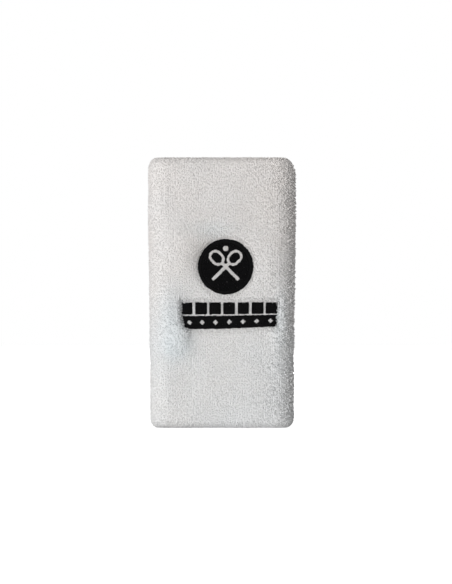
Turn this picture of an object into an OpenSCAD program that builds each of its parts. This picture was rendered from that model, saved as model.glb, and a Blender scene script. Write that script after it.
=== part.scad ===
// Long terry sweat wristband with an embroidered front, standing on one end.
//
// One knitted terry tube, about twice the finished length, is turned in at both ends and joined
// to itself inside. So the wall is an outer ply, a narrow gap and an inner ply made of the two
// turned-in ends, which meet at a flat closing seam. Elastic yarns lie on the hidden side of both
// plies, and the embroidery goes through the outer ply only, onto a backing in the gap.
//
// The front faces -Y and the band's length runs along +Z. The origin is the middle of the lower
// rim. Seen from above the band is a racetrack: two flat sides joined by two half rounds. The
// spine is the line along X between the centres of the half rounds, and a radius below is a
// distance from that line.

/* [Band] */
// Width of the band as it lies flat, along X
band_w = 80; // [78:1:90]
// Finished length of the band, along Z
band_l = 147; // [130:1:160]
// Depth of the band from front to back, along Y
band_d = 22; // [21:1:26]

/* [Terry cloth] */
// Thickness of one ply, loops included
ply_t = 2.6; // [2.2:0.1:2.8]
// Gap between the outer ply and the inner ply
ply_gap = 1.8; // [1.8:0.1:2]
// Outside radius of the cloth where it folds over at each end
fold_r = 2.6; // [2:0.1:3]

/* [Elastic yarns] */
// Diameter of a covered elastic yarn
yarn_d = 0.5; // [0.3:0.1:0.5]
// Distance along the band from one yarn to the next
yarn_pitch = 5; // [3:0.5:8]

/* [Closing seam] */
// Height of the closing seam above the lower rim
seam_z = 73.5; // [50:0.5:90]
// Width of the stitches across the closing seam
seam_w = 5; // [4:0.5:7]
// Thickness of the thread on each face of the closing seam
seam_t = 0.4; // [0.3:0.05:0.5]

/* [Embroidery] */
// Thickness of the stitches on the front
stitch_t = 0.8; // [0.5:0.1:1]
// Depth to which the stitches press the pile down
press_d = 1.2; // [1:0.1:1.4]
// Width of the pressed pile around the stitches
press_margin = 1; // [0.5:0.1:1.5]
// Thickness of the backing cloth
backing_t = 0.3; // [0.2:0.05:0.3]
// How far the backing reaches past the stitches
backing_margin = 2.5; // [2:0.5:4]

/* [Roundel] */
// Diameter of the round emblem
roundel_d = 30; // [26:0.5:32]
// Width of its stitched border
roundel_border = 2; // [1.5:0.1:2.5]
// Centre of the emblem, to the right of the middle of the band
roundel_x = 2; // [-4:0.5:4]
// Centre of the emblem, above the middle of the band
roundel_z = 14; // [12:0.5:20]

/* [Block row and bar] */
// Width of the row of blocks and of the bar
row_w = 52.5; // [48:0.5:54]
// Middle of both, to the right of the middle of the band
row_x = 4; // [0:0.5:4]
// Number of blocks in the row
block_count = 7; // [5:1:9]
// Height of a block
block_h = 6.6; // [5:0.1:7]
// Space between two blocks
block_space = 1.4; // [1:0.1:2]
// Middle of the row of blocks, below the middle of the band
block_drop = 8.6; // [8:0.1:9]
// Height of the bar
bar_h = 7.2; // [6:0.1:7.4]
// Middle of the bar, below the middle of the band
bar_drop = 16.2; // [16:0.1:18]
// Number of open lozenges in the bar
lozenge_count = 7; // [5:1:9]
// Width of a lozenge from corner to corner
lozenge_w = 3; // [2:0.1:4]

/* [Hidden] */
$fn = 96;

// Radii of the wall, from the outside to the wrist
outer_r = band_d / 2;
gap_outer_r = outer_r - ply_t;
gap_inner_r = gap_outer_r - ply_gap;
inner_r = gap_inner_r - ply_t;
fold_line_r = (outer_r + inner_r) / 2;
flat_half = band_w / 2 - outer_r;

// Radii of what lies in the gap
clear = 0.05;
outer_yarn_r = gap_outer_r - clear - yarn_d / 2;
inner_yarn_r = gap_inner_r + clear + yarn_d / 2;
backing_r = outer_yarn_r - yarn_d / 2 - clear;
bobbin_t = 0.2;
bobbin_r = backing_r - backing_t;

// Stitches on the front
press_r = outer_r - press_d;
mid_z = band_l / 2;
block_w = (row_w - (block_count - 1) * block_space) / block_count;
field_d = roundel_d - 2 * roundel_border;

// Racket figures and ball, left open in the roundel
racket_lean = 45;
racket_head_w = 7.2;
racket_head_l = 9.2;
racket_rim = 1.4;
racket_head_z = 6.8;
racket_grip_w = 1.8;
racket_grip_l = 13;
ball_d = 3;
ball_z = 9.8;

// How much the seam thread is sunk into the ply, and the ends of the yarn rows
seam_sink = seam_t + 0.1;
yarn_end = 6;
over = 1;

terry = "gainsboro";
elastic = "ivory";
thread = "#1c1c1e";
backing = "whitesmoke";

// Sweeps a profile around the band: its x is the distance from the spine, its y is the height.
module around() {
    for (side = [0, 1])
        mirror([0, side, 0])
            translate([-flat_half, 0, 0])
                rotate([90, 0, 90])
                    linear_extrude(2 * flat_half) children();
    for (side = [0, 1])
        mirror([side, 0, 0])
            translate([flat_half, 0, 0])
                rotate([0, 0, -90])
                    rotate_extrude(angle = 180) children();
}

// A rectangle with its lower left corner at the origin and rounded corners.
module rounded(size, r) {
    translate([r, 0]) square([size.x - 2 * r, size.y]);
    translate([0, r]) square([size.x, size.y - 2 * r]);
    for (x = [r, size.x - r], y = [r, size.y - r])
        translate([x, y]) circle(r);
}

// Both plies and both end folds, cut through the wall.
module wall_profile() {
    difference() {
        translate([inner_r, 0])
            rounded([outer_r - inner_r, band_l], fold_r);
        translate([gap_inner_r, ply_t])
            rounded([ply_gap, band_l - 2 * ply_t], ply_gap / 3);
    }
}

// The part of the wall between two radii and two heights.
module wall_part(r_from, r_to, z_from, z_to) {
    intersection() {
        wall_profile();
        translate([r_from, z_from]) square([r_to - r_from, z_to - z_from]);
    }
}

// A layer on the front between two radii, with its outline given in X and Z.
module on_front(r_from, r_to) {
    intersection() {
        around() translate([r_from, 0]) square([r_to - r_from, band_l]);
        rotate([90, 0, 0]) linear_extrude(band_d) children();
    }
}

module at_roundel() {
    translate([roundel_x, mid_z + roundel_z]) children();
}

module at_row(drop) {
    translate([row_x, mid_z - drop]) children();
}

// An upright oval with straight sides, around the origin.
module oval(w, l) {
    for (side = [-1, 1])
        translate([0, side * (l - w) / 2]) circle(d = w);
    square([w, l - w], center = true);
}

// A racket's outline, head up, around the point where the two rackets cross.
module racket() {
    translate([0, racket_head_z])
        difference() {
            oval(racket_head_w, racket_head_l);
            oval(racket_head_w - 2 * racket_rim, racket_head_l - 2 * racket_rim);
        }
    grip_top = racket_head_z - racket_head_l / 2 + racket_rim / 2;
    translate([-racket_grip_w / 2, grip_top - racket_grip_l])
        square([racket_grip_w, racket_grip_l]);
}

module roundel_figure() {
    for (lean = [-racket_lean, racket_lean])
        rotate(lean) racket();
    translate([0, ball_z]) circle(d = ball_d);
}

module block_row_outline() {
    for (i = [0 : block_count - 1])
        translate([-row_w / 2 + i * (block_w + block_space), -block_h / 2])
            square([block_w, block_h]);
}

module bar_outline() {
    difference() {
        square([row_w, bar_h], center = true);
        for (i = [0 : lozenge_count - 1])
            translate([(i - (lozenge_count - 1) / 2) * row_w / lozenge_count, 0])
                rotate(45) square(lozenge_w / sqrt(2), center = true);
    }
}

// The footprint of all stitches, grown by a margin.
module stitched_area(margin) {
    at_roundel() circle(d = roundel_d + 2 * margin);
    low = bar_drop + bar_h / 2;
    high = block_drop - block_h / 2;
    translate([row_x - row_w / 2 - margin, mid_z - low - margin])
        square([row_w + 2 * margin, low - high + 2 * margin]);
}

module outer_ply() {
    color(terry)
        difference() {
            around() wall_part(fold_line_r, outer_r, 0, band_l);
            on_front(press_r, outer_r + over) stitched_area(press_margin);
        }
}

// Seats for the stitches of the closing seam, on both faces of the inner ply.
module seam_seats() {
    for (r = [inner_r - over, gap_inner_r - seam_sink])
        translate([r, seam_z - seam_w / 2])
            square([over + seam_sink, seam_w]);
}

module upper_turn_in() {
    color(terry)
        around()
            difference() {
                wall_part(inner_r, fold_line_r, seam_z, band_l);
                seam_seats();
            }
}

module lower_turn_in() {
    color(terry)
        around()
            difference() {
                wall_part(inner_r, fold_line_r, 0, seam_z);
                seam_seats();
            }
}

// Rings of elastic yarn at one radius, between two heights.
module yarns(r, z_from, z_to) {
    color(elastic)
        for (z = [z_from : yarn_pitch : z_to])
            around() translate([r, z]) circle(d = yarn_d, $fn = 24);
}

module outer_elastic_yarns() {
    yarns(outer_yarn_r, yarn_end, band_l - yarn_end);
}

module upper_elastic_yarns() {
    yarns(inner_yarn_r, seam_z + seam_w, band_l - yarn_end);
}

module lower_elastic_yarns() {
    yarns(inner_yarn_r, yarn_end, seam_z - seam_w);
}

module seam_needle_thread() {
    color(elastic)
        around()
            translate([inner_r + seam_sink - seam_t, seam_z - seam_w / 2])
                square([seam_t, seam_w]);
}

module seam_looper_thread() {
    color(elastic)
        around()
            translate([gap_inner_r - seam_sink, seam_z - seam_w / 2])
                square([seam_t, seam_w]);
}

module roundel_border() {
    color(thread)
        on_front(press_r, press_r + stitch_t)
            at_roundel()
                difference() {
                    circle(d = roundel_d);
                    circle(d = field_d);
                }
}

module roundel_field() {
    color(thread)
        on_front(press_r, press_r + stitch_t)
            at_roundel()
                difference() {
                    circle(d = field_d);
                    roundel_figure();
                }
}

module block_row() {
    color(thread)
        on_front(press_r, press_r + stitch_t)
            at_row(block_drop) block_row_outline();
}

module bar() {
    color(thread)
        on_front(press_r, press_r + stitch_t)
            at_row(bar_drop) bar_outline();
}

module embroidery_backing() {
    color(backing)
        on_front(backing_r - backing_t, backing_r) stitched_area(backing_margin);
}

module bobbin_stitches() {
    color(elastic)
        on_front(bobbin_r - bobbin_t, bobbin_r) {
            at_roundel() circle(d = roundel_d);
            at_row(block_drop) block_row_outline();
            at_row(bar_drop) bar_outline();
        }
}

outer_ply();
upper_turn_in();
lower_turn_in();
outer_elastic_yarns();
upper_elastic_yarns();
lower_elastic_yarns();
seam_needle_thread();
seam_looper_thread();
roundel_border();
roundel_field();
block_row();
bar();
embroidery_backing();
bobbin_stitches();
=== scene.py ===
"""A long terry sweat wristband: one turned-in tube of looped cloth with an embroidered front.

Everything is in metres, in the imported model's frame: the front faces -Y, the band stands on
z = 0 along +Z, and seen from above it is a racetrack, two flat sides joined by two half rounds.

The cloth is laid out in three numbers: `u` is the way around the band, `v` is the way along the
knitted tube, from raw edge over both end folds to raw edge, and `h` is the height above the
middle of the ground cloth, towards the loops. place() turns them into points, so the ground
cloth and its loops follow the same surface, and the stitches follow it through on_front().
"""
import math

import bpy
import numpy as np
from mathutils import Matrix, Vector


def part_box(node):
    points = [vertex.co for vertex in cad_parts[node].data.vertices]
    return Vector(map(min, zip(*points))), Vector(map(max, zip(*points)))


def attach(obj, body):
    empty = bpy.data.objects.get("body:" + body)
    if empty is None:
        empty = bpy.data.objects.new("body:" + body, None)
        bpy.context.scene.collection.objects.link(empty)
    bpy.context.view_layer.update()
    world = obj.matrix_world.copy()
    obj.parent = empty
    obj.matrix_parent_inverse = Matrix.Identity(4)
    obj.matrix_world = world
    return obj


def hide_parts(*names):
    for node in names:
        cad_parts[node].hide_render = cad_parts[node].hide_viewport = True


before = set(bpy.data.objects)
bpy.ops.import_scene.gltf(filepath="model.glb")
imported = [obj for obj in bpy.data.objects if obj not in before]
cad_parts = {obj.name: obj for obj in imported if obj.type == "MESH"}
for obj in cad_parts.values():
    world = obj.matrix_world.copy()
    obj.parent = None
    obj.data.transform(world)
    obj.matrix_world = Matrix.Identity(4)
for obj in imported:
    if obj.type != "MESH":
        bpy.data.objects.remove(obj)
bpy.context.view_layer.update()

MM = 0.001
TAU = 2 * math.pi
rng = np.random.default_rng(20260)

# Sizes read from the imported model. A radius is a distance from the line between the centres of
# the two half rounds.
_, ply_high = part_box("outer_ply")
turn_low, turn_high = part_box("upper_turn_in")
OUTER_R = ply_high.y
FOLD_R = turn_high.y
WALL_HALF = OUTER_R - FOLD_R
LENGTH = ply_high.z
HALF_WIDTH = ply_high.x
FLAT_HALF = HALF_WIDTH - OUTER_R
SEAM_Z = turn_low.z

# The ground cloth, and the radius at which `u` is a true distance on the half rounds
GROUND_TOP = 0.85 * MM
GROUND_LOW = -0.4 * MM
HALF_GAP = 1.35 * MM
PILE_H = WALL_HALF - HALF_GAP
EVEN_R = OUTER_R - 1.0 * MM
FLAT = 2 * FLAT_HALF
ARC = math.pi * EVEN_R
AROUND = 2 * (FLAT + ARC)

# Places along the tube: the lower turn-in, the lower fold, the outer ply, the upper fold and the
# upper turn-in
FOLD_L = math.pi * HALF_GAP
V_LOWER_FOLD = SEAM_Z - WALL_HALF
V_OUTER = V_LOWER_FOLD + FOLD_L
V_UPPER_FOLD = V_OUTER + LENGTH - 2 * WALL_HALF
V_UPPER = V_UPPER_FOLD + FOLD_L
TUBE_L = V_UPPER + LENGTH - WALL_HALF - SEAM_Z


def box_middle(node):
    """Middle of a node's box in X and Z, and its size in X and Z."""
    low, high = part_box(node)
    return (low.x + high.x) / 2, (low.z + high.z) / 2, high.x - low.x, high.z - low.z


ROUNDEL_X, ROUNDEL_Z, ROUNDEL_D, _ = box_middle("roundel_border")
FIELD_D = box_middle("roundel_field")[2]
ROW_X, ROW_Z, ROW_W, ROW_H = box_middle("block_row")
BAR_X, BAR_Z, BAR_W, BAR_H = box_middle("bar")
PRESS_R = OUTER_R - 1.2 * MM

# The open figures in the embroidery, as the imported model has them
BLOCKS = 7
BLOCK_SPACE = 1.4 * MM
LOZENGES = 7
LOZENGE_W = 3.0 * MM
RACKET_LEAN = math.radians(45)
RACKET_HEAD_W = 7.2 * MM
RACKET_HEAD_L = 9.2 * MM
RACKET_RIM = 1.4 * MM
RACKET_HEAD_Z = 6.8 * MM
RACKET_GRIP_W = 1.8 * MM
RACKET_GRIP_L = 13.0 * MM
BALL_D = 3.0 * MM
BALL_Z = 9.8 * MM
CORNER_BLEND = 8 * MM


def smooth(x):
    """0 below 0, 1 above 1 and an even turn between."""
    x = np.clip(x, 0, 1)
    return x * x * (3 - 2 * x)


# ---------------------------------------------------------------- the embroidery's outlines

def box_distance(x, z, half_w, half_h):
    """Signed distance to a rectangle around the origin, negative inside."""
    dx = np.abs(x) - half_w
    dz = np.abs(z) - half_h
    outside = np.hypot(np.maximum(dx, 0), np.maximum(dz, 0))
    return outside + np.minimum(np.maximum(dx, dz), 0)


def oval_distance(x, z, width, length):
    """Signed distance to an upright oval with straight sides, around the origin."""
    past = np.maximum(np.abs(z) - (length - width) / 2, 0)
    return np.hypot(x, past) - width / 2


def racket_distance(x, z, lean):
    """Signed distance to one racket's outline, around the point where the rackets cross."""
    along_x = x * math.cos(lean) + z * math.sin(lean)
    along_z = -x * math.sin(lean) + z * math.cos(lean)
    head = np.abs(oval_distance(along_x, along_z - RACKET_HEAD_Z,
                                RACKET_HEAD_W - RACKET_RIM, RACKET_HEAD_L - RACKET_RIM))
    grip_top = RACKET_HEAD_Z - RACKET_HEAD_L / 2 + RACKET_RIM / 2
    grip = box_distance(along_x, along_z - grip_top + RACKET_GRIP_L / 2,
                        RACKET_GRIP_W / 2, RACKET_GRIP_L / 2)
    return np.minimum(head - RACKET_RIM / 2, grip)


def figure_distance(x, z):
    """Signed distance to the rackets and the ball, which the roundel leaves open."""
    x = x - ROUNDEL_X
    z = z - ROUNDEL_Z
    ball = np.hypot(x, z - BALL_Z) - BALL_D / 2
    rackets = np.minimum(racket_distance(x, z, RACKET_LEAN), racket_distance(x, z, -RACKET_LEAN))
    return np.minimum(rackets, ball)


def disc_distance(x, z, diameter):
    return np.hypot(x - ROUNDEL_X, z - ROUNDEL_Z) - diameter / 2


def field_distance(x, z):
    return np.maximum(disc_distance(x, z, FIELD_D), -figure_distance(x, z))


def blocks_distance(x, z):
    pitch = (ROW_W + BLOCK_SPACE) / BLOCKS
    first = ROW_X - (BLOCKS - 1) / 2 * pitch
    i = np.clip(np.round((x - first) / pitch), 0, BLOCKS - 1)
    return box_distance(x - first - i * pitch, z - ROW_Z, (pitch - BLOCK_SPACE) / 2, ROW_H / 2)


def bar_distance(x, z):
    pitch = BAR_W / LOZENGES
    first = BAR_X - (LOZENGES - 1) / 2 * pitch
    i = np.clip(np.round((x - first) / pitch), 0, LOZENGES - 1)
    lozenge = (np.abs(x - first - i * pitch) + np.abs(z - BAR_Z) - LOZENGE_W / 2) / math.sqrt(2)
    return np.maximum(box_distance(x - BAR_X, z - BAR_Z, BAR_W / 2, BAR_H / 2), -lozenge)


def border_distance(x, z):
    return np.abs(disc_distance(x, z, (ROUNDEL_D + FIELD_D) / 2)) - (ROUNDEL_D - FIELD_D) / 4


def stitched_distance(x, z):
    """Signed distance to everything in black thread."""
    roundel = np.minimum(border_distance(x, z), field_distance(x, z))
    return np.minimum(roundel, np.minimum(blocks_distance(x, z), bar_distance(x, z)))


def footprint_distance(x, z):
    """Signed distance to the embroidery as a whole, with its open figures filled."""
    low = BAR_Z - BAR_H / 2
    high = ROW_Z + ROW_H / 2
    rows = box_distance(x - ROW_X, z - (low + high) / 2, ROW_W / 2, (high - low) / 2)
    return np.minimum(disc_distance(x, z, ROUNDEL_D), rows)


def soft_footprint_distance(x, z):
    """As footprint_distance, with the corner between roundel and rows rounded off."""
    low = BAR_Z - BAR_H / 2
    high = ROW_Z + ROW_H / 2
    a = disc_distance(x, z, ROUNDEL_D)
    b = box_distance(x - ROW_X, z - (low + high) / 2, ROW_W / 2, (high - low) / 2)
    near = np.maximum(CORNER_BLEND - np.abs(a - b), 0) / CORNER_BLEND
    return np.minimum(a, b) - near * near * CORNER_BLEND / 4


# ---------------------------------------------------------------- the band's shape

CROWN = 0.7 * MM
BACK_CROWN = 0.8 * MM
CROWN_REACH = 25 * MM
DISH_REACH = 9 * MM
DISH_CLEAR = 0.3 * MM
FRONT_RIPPLE = 0.25 * MM
FRONT_WAVE = 26 * MM
BACK_RIPPLE = 0.3 * MM
BACK_WAVE = 34 * MM
EDGE_RIPPLE = 0.12 * MM
EDGE_WAVE = 18 * MM

# Soft bulges beside the embroidery, in mm: X and Z from the band's middle, spreads in X and Z,
# height, and how far from the embroidery it takes to reach that height
BULGES = [
    (-23, 27, 14, 13, 4.3, 7.2),
    (-4, 36, 12, 6, 0.4, 5),
    (-27.5, -12, 8, 13, 3.5, 3.7),
    (-24, -31, 9, 8, 2.2, 6),
    (32, -18, 5, 12, 2.2, 3.5),
    (6, -32, 14, 6, 0.5, 5),
]

# The fold that runs down from the bar's lower left corner, in mm: the ridge's middle from the
# band's middle, its direction, half length, spread on the outer and inner side, height, and the
# distance from the embroidery it takes to reach that height
FOLD_AT = (-23.4, -23.4)
FOLD_WAY = math.radians(-60)
FOLD_HALF = 4.8
FOLD_OUTER = 5.0
FOLD_INNER = 2.4
FOLD_HEIGHT = 1.8
FOLD_REACH = 2.0

# Painted cool highlight on the bulges, in mm: X and Z from the band's middle and spreads in X and
# Z
PAINTED_HIGHLIGHTS = [
    (-28, -16, 6, 15),
    (-23, -30, 8, 6),
    (-5, 34, 12, 5),
    (32, -15, 4, 13),
]


def halo_share(x, z, on_it):
    """Share of the painted cool highlight, 0 to 1, for points on the plain front."""
    total = 0
    for hx, hz, spread_x, spread_z in PAINTED_HIGHLIGHTS:
        far = ((x / MM - hx) / spread_x) ** 2 + (((z - LENGTH / 2) / MM - hz) / spread_z) ** 2
        total = total + np.exp(-far)
    return np.where(on_it, np.clip(total, 0, 1), 0)


def ripple(x, z, seed, wave):
    """A gentle unevenness, about -1 to 1, with waves of about that length."""
    turn = np.random.default_rng(seed)
    total = 0
    for _ in range(5):
        way = turn.uniform(0, TAU)
        size = wave * turn.uniform(0.7, 1.6)
        total = total + np.sin(TAU * (x * math.cos(way) + z * math.sin(way)) / size
                               + turn.uniform(0, TAU))
    return total / 3


def end_taper(z, reach):
    """0 at either end of the band and 1 from `reach` inwards."""
    return smooth(np.minimum(z, LENGTH - z) / reach)


def corner_fold(x, z, d):
    """Height of the fold at the bar's corner, steeper on the side towards the embroidery."""
    dx = x / MM - FOLD_AT[0]
    dz = (z - LENGTH / 2) / MM - FOLD_AT[1]
    along = dx * math.cos(FOLD_WAY) + dz * math.sin(FOLD_WAY)
    over = dz * math.cos(FOLD_WAY) - dx * math.sin(FOLD_WAY)
    spread = np.where(over > 0, FOLD_INNER, FOLD_OUTER)
    shape = np.exp(-(along / FOLD_HALF) ** 2 - (over / spread) ** 2)
    return FOLD_HEIGHT * MM * shape * smooth(d / MM / FOLD_REACH)


def front_swell(x, z):
    """How far the outer ply stands proud of the flat front."""
    d = soft_footprint_distance(x, z) - DISH_CLEAR
    crown = CROWN * np.maximum(1 - (x / HALF_WIDTH) ** 2, 0) * end_taper(z, CROWN_REACH)
    total = (crown + FRONT_RIPPLE * ripple(x, z, 3, FRONT_WAVE)) * smooth(d / DISH_REACH)
    for bx, bz, spread_x, spread_z, height, reach in BULGES:
        far = ((x / MM - bx) / spread_x) ** 2 + (((z - LENGTH / 2) / MM - bz) / spread_z) ** 2
        rise = 1 - (1 - np.clip(d / MM / reach, 0, 1)) ** 2
        total = total + height * MM * np.exp(-far) * rise
    return (total + corner_fold(x, z, d)) * end_taper(z, 8 * MM)


def back_swell(x, z):
    """How far the outer ply stands proud of the flat back."""
    crown = BACK_CROWN * np.maximum(1 - (x / HALF_WIDTH) ** 2, 0) * end_taper(z, CROWN_REACH)
    return crown + BACK_RIPPLE * ripple(x, z, 8, BACK_WAVE) * end_taper(z, 10 * MM)


# How far each corner of the outline is drawn in: its side in X and in Z, the most, and over what
# height
CORNERS = [
    (-1, 1, 1.7 * MM, 8 * MM),
    (1, 1, 3.9 * MM, 12 * MM),
    (-1, -1, 1.0 * MM, 7 * MM),
    (1, -1, 1.2 * MM, 7 * MM),
]

# The whole width, and how much narrower the lower end is
WIDEN = 1.008
LOWER_TAPER = 0.024

# The cloth is pulled sideways at the bar's lower left corner and lifted at its lower right one
PULL = 2.2 * MM
PULL_X = BAR_X - BAR_W / 2
PULL_Z = BAR_Z - BAR_H / 2 - 1 * MM
TILT = 1.3 * MM
TILT_X = BAR_X + BAR_W / 2

# The step over which the front's slope is measured, and the steepest slope that loops lean with
PROBE = 0.3 * MM
STEEPEST = 0.8


def settle(x, y, z, r, facing):
    """Moves points of the plain racetrack to where the soft band lies. r is their radius and
    facing is -1 on the front, 1 on the back and between on the half rounds."""
    outer = smooth((r - FOLD_R) / HALF_GAP)
    swell = np.where(facing < 0, front_swell(x, z), back_swell(x, z))
    slope_x = np.where(facing < 0, front_swell(x + PROBE, z) - swell, 0) / PROBE
    slope_z = np.where(facing < 0, front_swell(x, z + PROBE) - swell, 0) / PROBE
    slope_x, slope_z = (np.clip(s, -STEEPEST, STEEPEST) for s in (slope_x, slope_z))
    stand = np.clip(r - FOLD_R - HALF_GAP, 0, None) * np.clip(-facing, 0, 1)
    side = np.clip(np.abs(x) / HALF_WIDTH, 0, 1) ** 4
    drawn = 0
    for sx, sz, most, reach in CORNERS:
        near = np.clip(1 - (LENGTH - z if sz > 0 else z) / reach, 0, 1) ** 2
        drawn = drawn + np.where(x * sx > 0, most * near, 0)
    wave = EDGE_RIPPLE * ripple(z, x * 0.1, 5, EDGE_WAVE)
    pull = PULL * np.exp(-((x - PULL_X) / (9 * MM)) ** 2 - ((z - PULL_Z) / (5 * MM)) ** 2)
    on_the_front = np.clip(-facing, 0, 1) * outer
    tilt = TILT * np.exp(-((x - TILT_X) / (22 * MM)) ** 2 - ((z - PULL_Z) / (9 * MM)) ** 2)
    narrow = WIDEN - LOWER_TAPER * smooth((0.8 * LENGTH - z) / (0.6 * LENGTH))
    new_x = x * narrow - np.sign(x) * side * (drawn - wave) + pull * on_the_front
    new_y = y + facing * swell * outer
    new_z = z + tilt * on_the_front
    return np.stack([new_x - stand * slope_x, new_y, new_z - stand * slope_z], -1)


def place(u, v, h):
    """Points for arrays of u, v and h of one shape."""
    u = np.mod(u, AROUND)
    turned = np.clip(u - FLAT, 0, ARC) + np.clip(u - 2 * FLAT - ARC, 0, ARC)
    angle = -math.pi / 2 + turned / EVEN_R
    spine = -FLAT_HALF + np.clip(u, 0, FLAT) - np.clip(u - FLAT - ARC, 0, FLAT)
    rolled = np.clip(v - V_LOWER_FOLD, 0, FOLD_L) + np.clip(v - V_UPPER_FOLD, 0, FOLD_L)
    lean = math.pi + rolled / HALF_GAP
    z = SEAM_Z - np.clip(v, 0, V_LOWER_FOLD) + np.clip(v - V_OUTER, 0, V_UPPER_FOLD - V_OUTER)
    z = z - np.maximum(v - V_UPPER, 0)
    r = FOLD_R + (HALF_GAP + h) * np.cos(lean)
    z = z + (HALF_GAP + h) * np.sin(lean)
    return settle(spine + r * np.cos(angle), r * np.sin(angle), z, r, np.sin(angle))


def on_front(x, z, r):
    """Points on the front at a radius, for arrays of x and z."""
    past = np.maximum(np.abs(x) - FLAT_HALF, 0)
    y = -np.sqrt(np.maximum(r * r - past * past, 0))
    return settle(x, y, z, r + 0 * x, y / r)


# ---------------------------------------------------------------- meshes

def mesh_object(name, points, quads, smooth_faces=True, **numbers):
    """A mesh from quads, with one attribute for each array of numbers given."""
    mesh = bpy.data.meshes.new(name)
    points = np.asarray(points, np.float32).reshape(-1, 3)
    quads = np.asarray(quads, np.int32).reshape(-1, 4)
    mesh.vertices.add(len(points))
    mesh.vertices.foreach_set("co", points.ravel())
    mesh.loops.add(quads.size)
    mesh.loops.foreach_set("vertex_index", quads.ravel())
    mesh.polygons.add(len(quads))
    mesh.polygons.foreach_set("loop_start", np.arange(0, quads.size, 4, dtype=np.int32))
    mesh.update()
    mesh.validate()
    mesh.polygons.foreach_set("use_smooth", np.full(len(mesh.polygons), smooth_faces))
    for key, values in numbers.items():
        layer = mesh.attributes.new(key, "FLOAT", "POINT")
        layer.data.foreach_set("value", np.asarray(values, np.float32).ravel())
    ob = bpy.data.objects.new(name, mesh)
    bpy.context.scene.collection.objects.link(ob)
    return ob


def grid_quads(rows, columns, close_rows=False, close_columns=False):
    """Quads over a grid of points, row by row."""
    i = np.arange(rows if close_rows else rows - 1)
    j = np.arange(columns if close_columns else columns - 1)
    i, j = np.meshgrid(i, j, indexing="ij")
    next_i = (i + 1) % rows
    next_j = (j + 1) % columns
    corners = [i * columns + j, i * columns + next_j, next_i * columns + next_j,
               next_i * columns + j]
    return np.stack(corners, -1).reshape(-1, 4)


def tubes(paths, sideways, across, thick, sides):
    """Yarns of equal numbers of points. paths is (n, points, 3), sideways is each path's width
    direction, across and thick are the half width and half thickness. Returns offsets in the same
    space as paths, with each ring closed around and the ends left open, and the quads."""
    along = np.gradient(paths, axis=1)
    along /= np.maximum(np.linalg.norm(along, axis=2, keepdims=True), 1e-12)
    up = np.cross(along, np.broadcast_to(sideways, paths.shape))
    up /= np.maximum(np.linalg.norm(up, axis=2, keepdims=True), 1e-12)
    width = np.cross(up, along)
    turn = np.arange(sides) / sides * TAU
    across = np.broadcast_to(across, paths.shape[:2])[:, :, None, None]
    thick = np.broadcast_to(thick, paths.shape[:2])[:, :, None, None]
    ring = (width[:, :, None] * np.cos(turn)[:, None] * across
            + up[:, :, None] * np.sin(turn)[:, None] * thick)
    points = paths[:, :, None] + ring
    quads = grid_quads(paths.shape[1], sides, close_columns=True)
    starts = np.arange(len(paths)) * paths.shape[1] * sides
    return points, (quads[None] + starts[:, None, None]).reshape(-1, 4)


# ---------------------------------------------------------------- materials

def node_material(name, roughness):
    """A material with its Principled node and a helper that adds nodes."""
    mat = bpy.data.materials.new(name)
    mat.use_nodes = True
    tree = mat.node_tree
    shader = tree.nodes["Principled BSDF"]
    shader.inputs["Roughness"].default_value = roughness

    def add(kind, links=(), **values):
        node = tree.nodes.new(kind)
        for key, value in values.items():
            if hasattr(node, key):
                setattr(node, key, value)
            else:
                node.inputs[key].default_value = value
        for socket, source in dict(links).items():
            tree.links.new(source, node.inputs[socket])
        return node

    return mat, shader, add, tree.links


def noise(add, place_by, scale, detail=3.0, roughness=0.55):
    return add("ShaderNodeTexNoise", {"Vector": place_by}, Scale=scale, Detail=detail,
               Roughness=roughness).outputs["Fac"]


def ramp(add, source, low, high, low_colour, high_colour):
    """A colour that goes from one to another while source goes from low to high."""
    node = add("ShaderNodeValToRGB", {"Fac": source})
    first, last = node.color_ramp.elements
    first.position, last.position = low, high
    first.color, last.color = (*low_colour, 1), (*high_colour, 1)
    return node.outputs["Color"]


def blend_colours(add, share, a, b, kind="MIX"):
    """Two colours mixed. The socket numbers are the mix node's colour ones."""
    node = add("ShaderNodeMix", {6: a, 7: b}, data_type="RGBA", blend_type=kind)
    node.inputs[0].default_value = share
    return node.outputs[2]


WARM_COTTON = (0.872, 0.866, 0.860)
COOL_COTTON = (0.860, 0.866, 0.870)
UPPER_TONE = (1.0, 0.970, 0.952)
UPPER_FROM = 0.045
UPPER_TO = 0.100
# A painted highlight: the cool tint of the bulges' lit sides
PAINTED_HIGHLIGHT_TONE = (0.945, 0.982, 1.0)


def cotton_colour(add, where):
    """White cotton: faint patches, warmer towards the upper end, with a painted cool highlight."""
    patches = ramp(add, noise(add, where, 28, 2), 0.36, 0.64, WARM_COTTON, COOL_COTTON)
    height = add("ShaderNodeSeparateXYZ", {"Vector": where}).outputs["Z"]
    upper = ramp(add, height, UPPER_FROM, UPPER_TO, (1, 1, 1), UPPER_TONE)
    # The painted cool highlight on the bulges, read from each mesh
    share = add("ShaderNodeAttribute", attribute_name="halo").outputs["Fac"]
    highlight_tint = ramp(add, share, 0.0, 1.0, (1, 1, 1), PAINTED_HIGHLIGHT_TONE)
    return blend_colours(add, 1.0, blend_colours(add, 1.0, patches, upper, "MULTIPLY"), highlight_tint,
                         "MULTIPLY")


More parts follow.
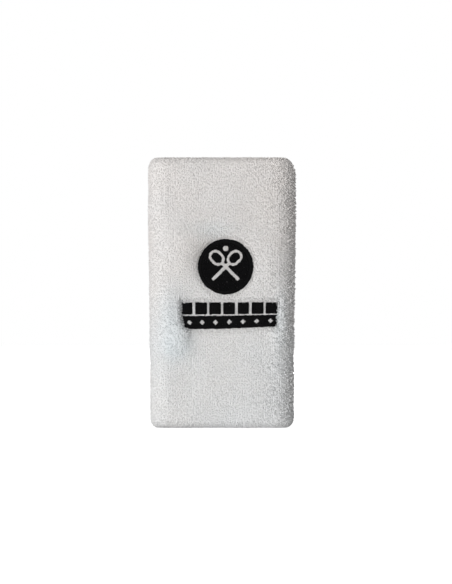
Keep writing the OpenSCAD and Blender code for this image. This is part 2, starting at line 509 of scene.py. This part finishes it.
def terry_material():
    """White cotton loops: each loop a little lighter or darker, with two plies and fine
    fibres."""
    mat, shader, add, links = node_material("terry_cotton", 0.95)
    where = add("ShaderNodeTexCoord").outputs["Object"]
    shade = add("ShaderNodeAttribute", attribute_name="shade").outputs["Fac"]
    grey = ramp(add, shade, 0.0, 1.0, (0.92, 0.92, 0.92), (1.0, 1.0, 1.0))
    colour = blend_colours(add, 1.0, cotton_colour(add, where), grey, "MULTIPLY")
    links.new(colour, shader.inputs["Base Color"])
    fibre = noise(add, where, 5200, 2, 0.7)
    bump = add("ShaderNodeBump", {"Height": fibre}, Strength=0.35, Distance=0.0001)
    twisted = add("ShaderNodeAttribute", attribute_name="twist").outputs["Fac"]
    plies = add("ShaderNodeMath", {0: twisted}, operation="SINE").outputs[0]
    bump = add("ShaderNodeBump", {"Height": plies, "Normal": bump.outputs["Normal"]},
               Strength=0.6, Distance=0.00006)
    links.new(bump.outputs["Normal"], shader.inputs["Normal"])
    shader.inputs["Sheen Weight"].default_value = 0.12
    shader.inputs["Sheen Roughness"].default_value = 0.5
    shader.inputs["Specular IOR Level"].default_value = 0.15
    return mat


def knit_material():
    """The ground of the cloth: fine jersey stitches."""
    mat, shader, add, links = node_material("terry_ground", 0.95)
    where = add("ShaderNodeTexCoord").outputs["Object"]
    links.new(cotton_colour(add, where), shader.inputs["Base Color"])
    wales = add("ShaderNodeTexWave", {"Vector": where}, wave_type="BANDS", bands_direction="X",
                Scale=330, Distortion=1.5, Detail=2)
    courses = add("ShaderNodeTexWave", {"Vector": where}, wave_type="BANDS", bands_direction="Z",
                  Scale=380, Distortion=1.5, Detail=2)
    both = add("ShaderNodeMath", {0: wales.outputs["Fac"], 1: courses.outputs["Fac"]},
               operation="ADD")
    bump = add("ShaderNodeBump", {"Height": both.outputs[0]}, Strength=0.6, Distance=0.0002)
    links.new(bump.outputs["Normal"], shader.inputs["Normal"])
    shader.inputs["Specular IOR Level"].default_value = 0.15
    return mat


def thread_material(name, dark, light, roughness, twist, shine):
    """Spun or filament thread: plies twisted along it, and each stitch a little different."""
    mat, shader, add, links = node_material(name, roughness)
    shade = add("ShaderNodeAttribute", attribute_name="shade").outputs["Fac"]
    links.new(ramp(add, shade, 0.0, 1.0, dark, light), shader.inputs["Base Color"])
    twisted = add("ShaderNodeAttribute", attribute_name="twist").outputs["Fac"]
    turns = add("ShaderNodeMath", {0: twisted}, operation="SINE").outputs[0]
    bump = add("ShaderNodeBump", {"Height": turns}, Strength=twist, Distance=0.00005)
    links.new(bump.outputs["Normal"], shader.inputs["Normal"])
    shader.inputs["Specular IOR Level"].default_value = shine
    return mat


def hidden_material(name, dark, light, scale, roughness):
    """Mottled colour with a fibrous bump, for the pieces inside the wall."""
    mat, shader, add, links = node_material(name, roughness)
    where = add("ShaderNodeTexCoord").outputs["Object"]
    fibre = noise(add, where, scale, 4, 0.65)
    links.new(ramp(add, fibre, 0.35, 0.65, dark, light), shader.inputs["Base Color"])
    bump = add("ShaderNodeBump", {"Height": fibre}, Strength=0.5, Distance=0.0001)
    links.new(bump.outputs["Normal"], shader.inputs["Normal"])
    return mat


TERRY = terry_material()
KNIT = knit_material()
BLACK_THREAD = thread_material("embroidery_thread", (0.002, 0.002, 0.0022),
                               (0.0045, 0.0045, 0.005), 0.45, 0.35, 0.05)
SEAM_THREAD = thread_material("seam_thread", (0.74, 0.73, 0.70), (0.86, 0.85, 0.82), 0.7, 0.5,
                              0.3)
COVERED_YARN = hidden_material("elastic_yarn", (0.70, 0.66, 0.56), (0.86, 0.83, 0.75), 2600, 0.7)
BACKING = hidden_material("backing_cloth", (0.78, 0.78, 0.77), (0.93, 0.93, 0.92), 900, 0.9)
BOBBIN = hidden_material("bobbin_thread", (0.72, 0.72, 0.70), (0.90, 0.90, 0.88), 2200, 0.8)


def finish_piece(ob, material):
    """Material and body of one visible piece."""
    ob.data.materials.clear()
    ob.data.materials.append(material)
    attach(ob, "root")
    return ob


# ---------------------------------------------------------------- the cloth

GROUND_COLUMNS = 240
GROUND_ROW = 1.6 * MM
FOLD_STEPS = 8

# How much higher the ground stands on the outside, for the matted feet of the loops
FEET = 0.72 * MM


def ground_cloth():
    """The knitted tube itself, a thin closed shell from raw edge to raw edge."""
    marks = [0, V_LOWER_FOLD, V_OUTER, V_UPPER_FOLD, V_UPPER, TUBE_L]
    v = [0.0]
    for low, high in zip(marks, marks[1:]):
        fold = high - low < 2 * FOLD_L
        steps = FOLD_STEPS if fold else round((high - low) / GROUND_ROW)
        v += list(low + (high - low) * (np.arange(steps) + 1) / steps)
    v = np.array(v)
    edge = np.concatenate([v, v[::-1]])
    u = np.arange(GROUND_COLUMNS) / GROUND_COLUMNS * AROUND
    u, edge = np.meshgrid(u, edge)
    x, z, on_it = plain_front(u, edge)
    near = np.where(on_it, footprint_distance(x, z), 1.0)
    outside = smooth((edge - V_LOWER_FOLD) / FOLD_L) * smooth((V_UPPER - edge) / FOLD_L)
    feet = FEET * (1 - 0.3 * loose_share(x, on_it)) * smooth((near - 1 * MM) / (2 * MM))
    height = GROUND_TOP + outside * feet
    height[len(v):] = GROUND_LOW
    points = place(u, edge, height)
    # Painted highlight: how much cool tint each point gets on the bulges
    halo = halo_share(x, z, on_it)
    quads = grid_quads(2 * len(v), GROUND_COLUMNS, close_rows=True, close_columns=True)
    ob = mesh_object("terry_tube", points, quads, halo=halo)
    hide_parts("outer_ply", "upper_turn_in", "lower_turn_in")
    return finish_piece(ob, KNIT)


WALES = 188
COURSE = 1.06 * MM
LOOP_W = 0.74 * MM
LOOP_YARN = 0.28 * MM
LOOP_REACH_V = 0.7
LOOP_FOOT = 0.6 * MM
LOOP_TURNS = 5
LOOP_SIDES = 4


def fold_share(v):
    """1 where the tube turns over at an end, 0 elsewhere."""
    lower = (v > V_LOWER_FOLD) & (v < V_OUTER)
    upper = (v > V_UPPER_FOLD) & (v < V_UPPER)
    return np.where(lower | upper, 1.0, 0.0)


def arc_share(u):
    """1 on the half rounds, 0 on the flats."""
    u = np.mod(u, AROUND)
    flat = (u < FLAT) | ((u > FLAT + ARC) & (u < 2 * FLAT + ARC))
    return np.where(flat, 0.0, 1.0)


def cap_quads(points_along, sides):
    """The two ends of a closed tube with an even number of sides."""
    last = (points_along - 1) * sides
    caps = []
    for k in range(1, sides - 2, 2):
        caps.append([k + 2, k + 1, k, 0])
        caps.append([last, last + k, last + k + 1, last + k + 2])
    return np.array(caps)


def with_caps(quads, count, points_along, sides):
    caps = cap_quads(points_along, sides)
    starts = np.arange(count) * points_along * sides
    return np.concatenate([quads, (caps[None] + starts[:, None, None]).reshape(-1, 4)])


def loop_paths(count, width, height, spread, segments):
    """Standing loops as (count, segments + 1, 3) offsets: sideways, along the tube and up."""
    t = np.linspace(0, 1, segments + 1)
    rise = np.sin(math.pi * t) ** 0.7
    open_out = -np.cos(math.pi * t) * (0.8 + 0.35 * np.sin(math.pi * t)) / 2
    twist = rng.normal(0, spread, count)[:, None]
    lean_u = rng.normal(0, 0.16, count)[:, None]
    lean_v = rng.normal(-0.1, 0.2, count)[:, None]
    reach = width[:, None] * open_out
    top = height[:, None] * rise
    path = np.stack([reach * np.sin(twist) + lean_u * top,
                     LOOP_REACH_V * reach * np.cos(twist) + lean_v * top, top], -1)
    across = np.stack([np.cos(twist), -np.sin(twist), 0 * twist], -1)
    return path, across


def plies(count, segments, sides):
    """The phase of a two-ply twist over each loop's points."""
    along = np.arange(segments + 1) / segments * LOOP_TURNS * TAU
    around = np.arange(sides) / sides * 2 * TAU
    return np.tile((along[:, None] + around).ravel(), count)


def pile(name, u, v, height, segments=5, yarn=LOOP_YARN):
    """Loops of yarn that stand on the ground cloth, one for each u and v."""
    count = len(u)
    # Painted highlight: how much cool tint each loop gets on the bulges
    halo = np.repeat(halo_share(*plain_front(u, v)), (segments + 1) * LOOP_SIDES)
    width = LOOP_W * rng.uniform(0.85, 1.15, count)
    path, across = loop_paths(count, width, height, 1.6, segments)
    thick = yarn * rng.uniform(0.88, 1.12, count)[:, None]
    points, quads = tubes(path, across, thick, thick, LOOP_SIDES)
    quads = with_caps(quads, count, segments + 1, LOOP_SIDES)
    shape = (count, 1, 1)
    u, v = u.reshape(shape), v.reshape(shape)
    h = LOOP_FOOT + points[..., 2]
    r_here = FOLD_R + (HALF_GAP + h) * np.where(v > V_LOWER_FOLD, 1, -1)
    r_here = np.where(v > V_UPPER, 2 * FOLD_R - r_here, r_here)
    scale_u = 1 + arc_share(u) * (EVEN_R / r_here - 1)
    scale_v = 1 + fold_share(v) * (HALF_GAP / (HALF_GAP + h) - 1)
    placed = place(u + points[..., 0] * scale_u, v + points[..., 1] * scale_v, h)
    shade = np.repeat(rng.uniform(0, 1, count), (segments + 1) * LOOP_SIDES)
    ob = mesh_object(name, placed, quads, shade=shade, twist=plies(count, segments, LOOP_SIDES),
                     halo=halo)
    return finish_piece(ob, TERRY)


def stitches_between(low, high, pitch):
    """Loop feet in straight columns between two places along the tube."""
    rows = max(1, round((high - low) / pitch))
    v = low + (np.arange(rows) + 0.5) / rows * (high - low)
    u = (np.arange(WALES) + 0.5) / WALES * AROUND
    u, v = (a.ravel() for a in np.meshgrid(u, v))
    x, _, on_it = plain_front(u, v)
    stray = 0.27 * (1 - 0.6 * loose_share(x, on_it)) * AROUND / WALES
    u = u + rng.normal(0, 1, len(u)) * stray
    v = v + rng.normal(0, 0.25, len(v)) * pitch
    return np.mod(u, AROUND), np.clip(v, low, high)


def plain_front(u, v):
    """X and Z of feet on the outer ply's front before the cloth settles, and whether they are
    on it."""
    on_it = (v > V_OUTER) & (v < V_UPPER_FOLD) & ((u < FLAT + ARC / 2) | (u > AROUND - ARC / 2))
    turned = np.where(u < FLAT + ARC / 2, np.clip(u - FLAT, 0, ARC / 2), u - AROUND) / EVEN_R
    x = np.where(turned == 0, u - FLAT_HALF,
                 np.sign(turned) * (FLAT_HALF + OUTER_R * np.sin(np.abs(turned))))
    return x, WALL_HALF + v - V_OUTER, on_it


def loose_share(x, on_it):
    """How uneven and open the pile is: 0 on most of the front, up to 1 at its right side."""
    return np.where(on_it, smooth((x / HALF_WIDTH - 0.3) / 0.6), 0.3)


EDGE_CLEAR = 0.2 * MM


def outer_pile():
    """The loops on the outside, in pieces that meet at the middles of the two half rounds."""
    u, v = stitches_between(V_OUTER, V_UPPER_FOLD, COURSE)
    x, z, on_it = plain_front(u, v)
    near = np.where(on_it, footprint_distance(x, z), 1.0)
    keep = near > EDGE_CLEAR
    height = PILE_H * (0.8 + 0.2 * smooth((near - EDGE_CLEAR) / (2 * MM)))
    uneven = 0.03 + 0.32 * loose_share(x, on_it)
    height = (height - LOOP_FOOT) * (1 + uneven * rng.uniform(-1, 1, len(u))) - LOOP_YARN
    middle = (V_OUTER + V_UPPER_FOLD) / 2
    pieces = []
    edges = [("front", 0, FLAT), ("right", FLAT, FLAT + ARC), ("back", FLAT + ARC, 2 * FLAT + ARC),
             ("left", 2 * FLAT + ARC, AROUND)]
    for side, low, high in edges:
        for end, ends in (("lower", v < middle), ("upper", v >= middle)):
            some = keep & ends & (u >= low) & (u < high)
            pieces.append(pile(f"pile_{side}_{end}", u[some], v[some], height[some]))
    return pieces


RIM_COURSES = 11


def rim_pile(name, low, high):
    """The loops that stand around one end fold."""
    u, v = stitches_between(low, high, (high - low) / RIM_COURSES)
    height = (PILE_H - LOOP_FOOT) * rng.uniform(0.92, 1.04, len(u)) - LOOP_YARN
    return pile(name, u, v, height)


INNER_COURSE = 1.1 * MM
SEAM_CLEAR = 2.0 * MM


def inner_pile(name, low, high):
    """The loops on the wrist side of one turned-in end, pressed down beside the closing seam."""
    u, v = stitches_between(low, high, INNER_COURSE)
    from_seam = np.minimum(v, TUBE_L - v)
    height = (PILE_H - LOOP_FOOT) * rng.uniform(0.8, 0.98, len(u)) - LOOP_YARN
    height = height * (0.45 + 0.55 * smooth((from_seam - SEAM_CLEAR) / (3 * MM)))
    pieces = []
    for side, some in (("front", u < AROUND / 2), ("back", u >= AROUND / 2)):
        pieces.append(pile(f"{name}_{side}", u[some], v[some], height[some], segments=3,
                           yarn=0.3 * MM))
    return pieces


# ---------------------------------------------------------------- the pressed pile

PAD_STEP = 0.45 * MM
PAD_TOP = PRESS_R + 0.1 * MM
PAD_BASE = OUTER_R - 2.1 * MM
PAD_REACH = 1.6 * MM


def slab_quads(rows, columns):
    """The closed surface of a slab whose top and bottom are grids, the top one first."""
    top = grid_quads(rows, columns)
    bottom = top[:, ::-1] + rows * columns
    i = np.arange(rows)
    j = np.arange(columns)
    ring = np.concatenate([j, (i * columns + columns - 1)[1:],
                           ((rows - 1) * columns + j)[::-1][1:], (i * columns)[::-1][1:-1]])
    after = np.roll(ring, -1)
    walls = np.stack([after, ring, ring + rows * columns, after + rows * columns], -1)
    return np.concatenate([top, bottom, walls])


def pressed_pile():
    """Loops matted flat by the stitches: a lumpy bed, level with the underside of the thread."""
    low_x, high_x = ROW_X - ROW_W / 2 - 2.5 * MM, ROW_X + ROW_W / 2 + 2.5 * MM
    low_z, high_z = BAR_Z - BAR_H / 2 - 2.5 * MM, ROUNDEL_Z + ROUNDEL_D / 2 + 2.5 * MM
    x = np.linspace(low_x, high_x, round((high_x - low_x) / PAD_STEP))
    z = np.linspace(low_z, high_z, round((high_z - low_z) / PAD_STEP))
    x, z = np.meshgrid(x, z)
    away = smooth(footprint_distance(x, z) / PAD_REACH)
    lumps = rng.normal(0, 0.05 * MM, x.shape) * (1 - away)
    top = PAD_TOP + lumps - away * (PAD_TOP - PAD_BASE - 0.15 * MM)
    points = np.concatenate([on_front(x, z, top).reshape(-1, 3),
                             on_front(x, z, PAD_BASE + 0 * x).reshape(-1, 3)])
    ob = mesh_object("pressed_pile", points, slab_quads(*x.shape),
                     shade=np.concatenate([rng.uniform(0.4, 1, x.size), np.ones(x.size)]))
    return finish_piece(ob, TERRY)


TUFT_STEP = 0.6 * MM
TUFT_H = 0.6 * MM
TUFT_YARN = 0.16 * MM


def peeping_pile():
    """Small loops that show through the open figures and along the embroidery's edge."""
    low_x, high_x = ROW_X - ROW_W / 2 - 1 * MM, ROW_X + ROW_W / 2 + 1 * MM
    low_z, high_z = BAR_Z - BAR_H / 2 - 1 * MM, ROUNDEL_Z + ROUNDEL_D / 2 + 1 * MM
    x, z = np.meshgrid(np.arange(low_x, high_x, TUFT_STEP), np.arange(low_z, high_z, TUFT_STEP))
    x, z = x.ravel(), z.ravel()
    x = x + rng.normal(0, 0.12, x.size) * TUFT_STEP
    z = z + rng.normal(0, 0.12, z.size) * TUFT_STEP
    some = (stitched_distance(x, z) > 0.12 * MM) & (footprint_distance(x, z) < 0.4 * MM)
    x, z = x[some], z[some]
    count = len(x)
    path, across = loop_paths(count, np.full(count, 0.5 * MM),
                              TUFT_H * rng.uniform(0.7, 1.2, count), 1.2, 5)
    points, quads = tubes(path, across, TUFT_YARN, TUFT_YARN, 4)
    quads = with_caps(quads, count, 6, 4)
    x, z = x[:, None, None], z[:, None, None]
    placed = on_front(x + points[..., 0], z + points[..., 1], PAD_TOP - 0.1 * MM + points[..., 2])
    shade = np.repeat(rng.uniform(0.3, 1, count), 24)
    return finish_piece(mesh_object("peeping_pile", placed, quads, shade=shade), TERRY)


# ---------------------------------------------------------------- embroidery

THREAD_PITCH = 0.40 * MM
THREAD_HALF_W = 0.225 * MM
THREAD_HALF_T = 0.16 * MM
TOP_R = PRESS_R + 0.56 * MM
UNDER_R = PRESS_R + 0.26 * MM
DIVE = 0.5 * MM
TWIST_TURN = 0.55 * MM
SAMPLE = 0.06 * MM


def stitch_runs(distance, middle, reach, angle, pitch, longest, inset):
    """Straight stitches that fill where distance is below -inset: rows of starts and ends."""
    along = np.array([math.cos(angle), math.sin(angle)])
    over = np.array([-along[1], along[0]])
    t = np.arange(-reach, reach, SAMPLE)
    starts, ends = [], []
    for row, offset in enumerate(np.arange(-reach, reach, pitch)):
        line = middle + offset * over + t[:, None] * along
        inside = distance(line[:, 0], line[:, 1]) < -inset
        turns = np.flatnonzero(np.diff(np.concatenate([[0], inside.astype(int), [0]])))
        for low, high in zip(turns[::2], turns[1::2]):
            a, b = t[low], t[high - 1]
            if b - a < 0.5 * MM:
                continue
            shift = (row * 0.37) % 1 * longest
            cuts = np.arange(math.floor(a / longest) * longest + shift - longest, b, longest)
            cuts = cuts[(cuts > a + 0.7 * MM) & (cuts < b - 0.7 * MM)]
            stops = np.concatenate([[a], cuts, [b]])
            starts += list(middle + offset * over + stops[:-1, None] * along)
            ends += list(middle + offset * over + stops[1:, None] * along)
    return np.array(starts), np.array(ends)


def border_runs():
    """Satin stitches across the roundel's border, a little slanted."""
    count = round(math.pi * ROUNDEL_D / (THREAD_PITCH * 0.95))
    turn = np.arange(count) / count * TAU
    slant = 0.5 * MM / (ROUNDEL_D / 2)
    inner, outer = FIELD_D / 2 - 0.25 * MM, ROUNDEL_D / 2
    middle = np.array([ROUNDEL_X, ROUNDEL_Z])
    starts = middle + inner * np.stack([np.cos(turn - slant), np.sin(turn - slant)], -1)
    ends = middle + outer * np.stack([np.cos(turn + slant), np.sin(turn + slant)], -1)
    return starts, ends


def wobble(points):
    """How far a stitch's end strays, alike for stitches that are side by side."""
    return 1.6 * ripple(points[:, :1], points[:, 1:], 12, 2.6 * MM)


def thread_piece(starts, ends, level, ragged):
    """Points, quads and attributes of threads that dive into the cloth at both ends."""
    way = ends - starts
    length = np.linalg.norm(way, axis=1, keepdims=True)
    way = way / length
    starts = starts - way * (rng.normal(0, ragged, (len(way), 1)) + ragged * wobble(starts))
    ends = ends + way * (rng.normal(0, ragged, (len(way), 1)) + ragged * wobble(ends))
    t = np.array([0, 0.03, 0.12, 0.3, 0.5, 0.7, 0.88, 0.97, 1])
    dive = np.array([1, 0.45, 0.1, 0, 0, 0, 0.1, 0.45, 1])
    crown = np.sin(math.pi * t) * np.clip(length / (6 * MM), 0, 1) * 0.12 * MM
    flat = starts[:, None] + (ends - starts)[:, None] * t[:, None]
    level = level + crown - dive * DIVE + rng.normal(0, 0.015 * MM, (len(way), 1))
    path = np.concatenate([flat, level[..., None]], -1)
    across = np.stack([-way[:, 1], way[:, 0], 0 * way[:, 0]], -1)[:, None]
    points, quads = tubes(path, across, THREAD_HALF_W * (1 - 0.35 * dive), THREAD_HALF_T, 6)
    quads = with_caps(quads, len(way), len(t), 6)
    placed = on_front(points[..., 0], points[..., 1], points[..., 2])
    shade = np.repeat(rng.uniform(0, 1, len(way)), len(t) * 6)
    run = (t * length)[:, :, None] / TWIST_TURN * TAU
    twist = run + np.arange(6) / 6 * TAU
    return placed.reshape(-1, 3), quads, shade, twist.ravel()


def join_pieces(name, parts):
    """One mesh from several thread pieces."""
    points, quads, shade, twist, start = [], [], [], [], 0
    for p, q, s, w in parts:
        points.append(p)
        quads.append(q + start)
        shade.append(s)
        twist.append(w)
        start += len(p)
    return mesh_object(name, np.concatenate(points), np.concatenate(quads),
                       shade=np.concatenate(shade), twist=np.concatenate(twist))


def embroidered(name, node, runs, distance, middle, reach, under_angle):
    """The stitches of one field over their underlay. They stand for a CAD node."""
    starts, ends = runs
    under = stitch_runs(distance, middle, reach, under_angle, 0.5 * MM, 5 * MM, 0.35 * MM)
    parts = [thread_piece(starts, ends, TOP_R, 0.07 * MM)]
    if len(under[0]):
        parts.append(thread_piece(*under, UNDER_R, 0))
    ob = join_pieces(name, parts)
    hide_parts(node)
    return finish_piece(ob, BLACK_THREAD)


def embroidery():
    roundel = np.array([ROUNDEL_X, ROUNDEL_Z])
    blocks = np.array([ROW_X, ROW_Z])
    bar = np.array([BAR_X, BAR_Z])
    half = ROUNDEL_D / 2
    upright = math.pi / 2
    field = stitch_runs(field_distance, roundel, half, 0.0, THREAD_PITCH, 3.6 * MM, 0)
    columns = stitch_runs(blocks_distance, blocks, ROW_W / 2 + MM, upright, THREAD_PITCH,
                          9 * MM, 0)
    strip = stitch_runs(bar_distance, bar, BAR_W / 2 + MM, upright, THREAD_PITCH, 9 * MM, 0)

    embroidered("roundel_border_stitches", "roundel_border", border_runs(), border_distance,
                roundel, half, upright)
    embroidered("roundel_field_stitches", "roundel_field", field, field_distance, roundel,
                half, upright)
    embroidered("block_row_stitches", "block_row", columns, blocks_distance, blocks,
                ROW_W / 2 + MM, 0.0)
    embroidered("bar_stitches", "bar", strip, bar_distance, bar, BAR_W / 2 + MM, 0.0)


# ---------------------------------------------------------------- the closing seam

SEAM_STITCH = 2.4 * MM
SEAM_HALF = 2.2 * MM
SEAM_THREAD_R = 0.16 * MM


def seam_thread(name, node, level):
    """A zigzag of thread over the two raw edges, all the way around at one height in the ply."""
    count = round(AROUND / SEAM_STITCH) * 2
    u = np.arange(count + 1) / count * AROUND
    w = np.where(np.arange(count + 1) % 2, SEAM_HALF, -SEAM_HALF)
    starts, ends = np.stack([u[:-1], w[:-1]], -1), np.stack([u[1:], w[1:]], -1)
    t = np.linspace(0, 1, 7)
    flat = starts[:, None] + (ends - starts)[:, None] * t[:, None]
    height = level - 0.25 * MM * np.abs(2 * t - 1) ** 6 + 0 * flat[..., 0]
    path = np.concatenate([flat, height[..., None]], -1)
    way = (ends - starts) / np.linalg.norm(ends - starts, axis=1, keepdims=True)
    across = np.stack([-way[:, 1], way[:, 0], 0 * way[:, 0]], -1)[:, None]
    points, quads = tubes(path, across, SEAM_THREAD_R, SEAM_THREAD_R, 6)
    quads = with_caps(quads, count, len(t), 6)[:, ::-1]
    w = points[..., 1]
    placed = place(points[..., 0], np.where(w > 0, TUBE_L - w, -w), points[..., 2])
    twist = np.tile(np.arange(6) / 6 * TAU, count * len(t))
    ob = mesh_object(name, placed, quads, shade=np.full(count * len(t) * 6, 0.5), twist=twist)
    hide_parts(node)
    return finish_piece(ob, SEAM_THREAD)


# ---------------------------------------------------------------- the whole band

def dress_hidden_nodes():
    """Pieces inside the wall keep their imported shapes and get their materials."""
    finishes = {
        "outer_elastic_yarns": COVERED_YARN,
        "upper_elastic_yarns": COVERED_YARN,
        "lower_elastic_yarns": COVERED_YARN,
        "embroidery_backing": BACKING,
        "bobbin_stitches": BOBBIN,
    }
    for node, material in finishes.items():
        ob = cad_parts[node]
        ob.data.materials.clear()
        ob.data.materials.append(material)


# Where the inner loops begin from the raw edges, and the seam threads' heights in the ply
RAW_EDGE = 0.6 * MM
NEEDLE_LEVEL = 1.3 * MM
LOOPER_LEVEL = -0.65 * MM


def wristband():
    """Every visible piece: the cloth as one folded tube with its loops, the embroidery and the
    seam.
    """
    tube = ground_cloth()
    loops = outer_pile()
    loops.append(rim_pile("pile_lower_rim", V_LOWER_FOLD, V_OUTER))
    loops.append(rim_pile("pile_upper_rim", V_UPPER_FOLD, V_UPPER))
    loops += inner_pile("pile_lower_turn_in", RAW_EDGE, V_LOWER_FOLD)
    loops += inner_pile("pile_upper_turn_in", V_UPPER, TUBE_L - RAW_EDGE)
    loops.append(pressed_pile())
    loops.append(peeping_pile())
    embroidery()
    seam_thread("closing_seam_needle_thread", "seam_needle_thread", NEEDLE_LEVEL)
    seam_thread("closing_seam_looper_thread", "seam_looper_thread", LOOPER_LEVEL)
    dress_hidden_nodes()


# ---------------------------------------------------------------- the studio

VIEW_HEIGHT = 0.3157
CAMERA_FAR = 1.6
CAMERA_X = 2.2 * MM
CAMERA_Z = LENGTH / 2 + 0.3 * MM
SENSOR = 36.0


def add_camera():
    """Straight at the front, level with the band's middle, from far away."""
    data = bpy.data.cameras.new("camera")
    data.sensor_fit = "AUTO"
    data.sensor_width = SENSOR
    data.lens = SENSOR * CAMERA_FAR / VIEW_HEIGHT
    data.clip_start = 0.05
    camera = bpy.data.objects.new("camera", data)
    camera.location = (CAMERA_X, -OUTER_R - CAMERA_FAR, CAMERA_Z)
    camera.rotation_euler = (math.pi / 2, 0, 0)
    bpy.context.scene.collection.objects.link(camera)
    bpy.context.scene.camera = camera


def add_softbox(name, azimuth, elevation, far, size, watts):
    """A square lamp that faces the band's middle. Azimuth 0 is in front, negative to the left."""
    data = bpy.data.lights.new(name, "AREA")
    data.size = size
    data.energy = watts
    lamp = bpy.data.objects.new(name, data)
    a, e = math.radians(azimuth), math.radians(elevation)
    lamp.location = (far * math.sin(a) * math.cos(e), -far * math.cos(a) * math.cos(e),
                     LENGTH / 2 + far * math.sin(e))
    lamp.rotation_euler = (math.pi / 2 - e, 0, a)
    bpy.context.scene.collection.objects.link(lamp)


FLOOR_HALF = 2.5
FLOOR_GLOW = 0.62
FILL_LEFT = 0.55
FILL_RIGHT = 0.10
FILL_TOP = 0.16
FILL_BOTTOM = 0.36


def add_room():
    """A pale room that is brighter on the left, above and below. The camera sees plain white."""
    world = bpy.data.worlds.new("studio")
    world.use_nodes = True
    nodes, links = world.node_tree.nodes, world.node_tree.links
    background = nodes["Background"]

    def scale(source, from_min, from_max, to_min, to_max):
        node = nodes.new("ShaderNodeMapRange")
        for socket, value in {"From Min": from_min, "From Max": from_max, "To Min": to_min,
                              "To Max": to_max}.items():
            node.inputs[socket].default_value = value
        links.new(source, node.inputs["Value"])
        return node

    def total(a, b):
        node = nodes.new("ShaderNodeMath")
        links.new(a.outputs[0], node.inputs[0])
        links.new(b.outputs[0], node.inputs[1])
        return node

    axes = nodes.new("ShaderNodeSeparateXYZ")
    links.new(nodes.new("ShaderNodeTexCoord").outputs["Generated"], axes.inputs["Vector"])
    sides = scale(axes.outputs["X"], -1, 1, FILL_LEFT, FILL_RIGHT)
    top = scale(axes.outputs["Z"], 0, 1, 0, FILL_TOP)
    bottom = scale(axes.outputs["Z"], -1, 0, FILL_BOTTOM, 0)
    seen = scale(nodes.new("ShaderNodeLightPath").outputs["Is Camera Ray"], 0, 1, 0, 1)
    links.new(total(total(sides, top), bottom).outputs[0], seen.inputs["To Min"])
    links.new(seen.outputs["Result"], background.inputs["Strength"])
    background.inputs["Color"].default_value = (1, 1, 1, 1)
    bpy.context.scene.world = world


def add_studio():
    """The room, a pale floor, a soft lamp to the left of the camera and one behind the band."""
    add_room()
    corners = [(-FLOOR_HALF, -FLOOR_HALF, 0), (FLOOR_HALF, -FLOOR_HALF, 0),
               (FLOOR_HALF, FLOOR_HALF, 0), (-FLOOR_HALF, FLOOR_HALF, 0)]
    floor = mesh_object("floor", corners, [[0, 1, 2, 3]], smooth_faces=False)
    mat, shader, add, links = node_material("pale_floor", 0.9)
    where = add("ShaderNodeTexCoord").outputs["Object"]
    links.new(ramp(add, noise(add, where, 6), 0.3, 0.7, (0.90, 0.90, 0.90), (0.92, 0.92, 0.92)),
              shader.inputs["Base Color"])
    shader.inputs["Emission Color"].default_value = (1, 1, 1, 1)
    shader.inputs["Emission Strength"].default_value = FLOOR_GLOW
    shader.inputs["Specular IOR Level"].default_value = 0.0
    floor.data.materials.append(mat)
    floor.visible_diffuse = False

    add_softbox("key", -27, 3, 1.4, 0.6, 14.2)
    add_softbox("back", 155, 25, 1.8, 1.2, 30)
    scene = bpy.context.scene
    scene.view_settings.view_transform = "Standard"
    scene.view_settings.look = "None"


add_camera()
add_studio()
wristband()
